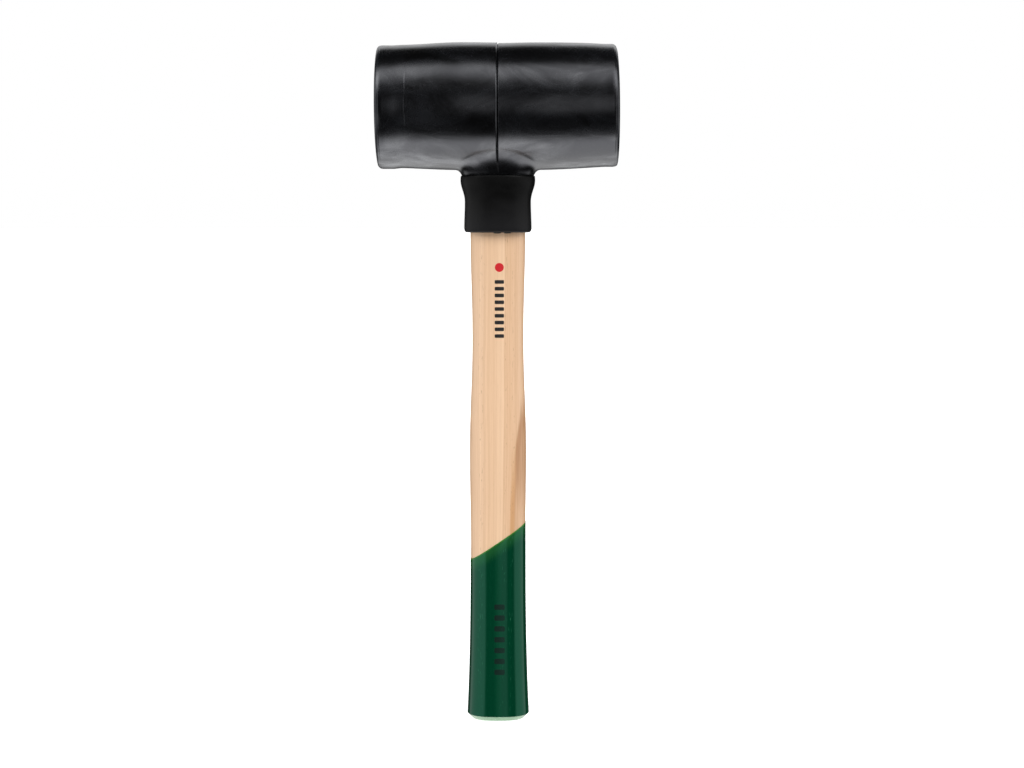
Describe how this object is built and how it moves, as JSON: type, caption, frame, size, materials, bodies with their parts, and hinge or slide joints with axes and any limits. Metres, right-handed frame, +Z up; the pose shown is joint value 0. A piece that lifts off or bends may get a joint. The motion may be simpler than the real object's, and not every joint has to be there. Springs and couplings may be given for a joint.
{
  "type": "rubber mallet",
  "caption": "Rubber mallet with a barrel-shaped black rubber head, a flared rubber sleeve under it, and an oval hickory handle with a slanted green dip-lacquered grip.",
  "frame": {"origin": "centre of the flat butt of the handle, on the plane that the mallet stands on", "axes": "+Z up the handle towards the head, +X along the striking axis of the head, towards the higher side of the lacquer's slanted edge, +Y across the handle's thin side"},
  "size_m": [0.123, 0.065, 0.3528],
  "materials": {
    "head_rubber": "moulded black rubber, semi-matt, dusty smears",
    "sleeve_rubber": "fine matt black rubber",
    "adhesive": "black adhesive, satin",
    "hickory": "sanded pale hickory, clear lacquer",
    "green_lacquer": "glossy translucent green dip lacquer over the wood's grain",
    "wedge_wood": "raw sawn hardwood"
  },
  "bodies": {
    "root": {"rubber_head": "head_rubber", "neck_sleeve": "sleeve_rubber", "head_bond": "adhesive", "sleeve_bond": "adhesive", "handle": "hickory", "grip_lacquer": "green_lacquer", "blind_wedge": "wedge_wood"}
  },
  "joints": []
}
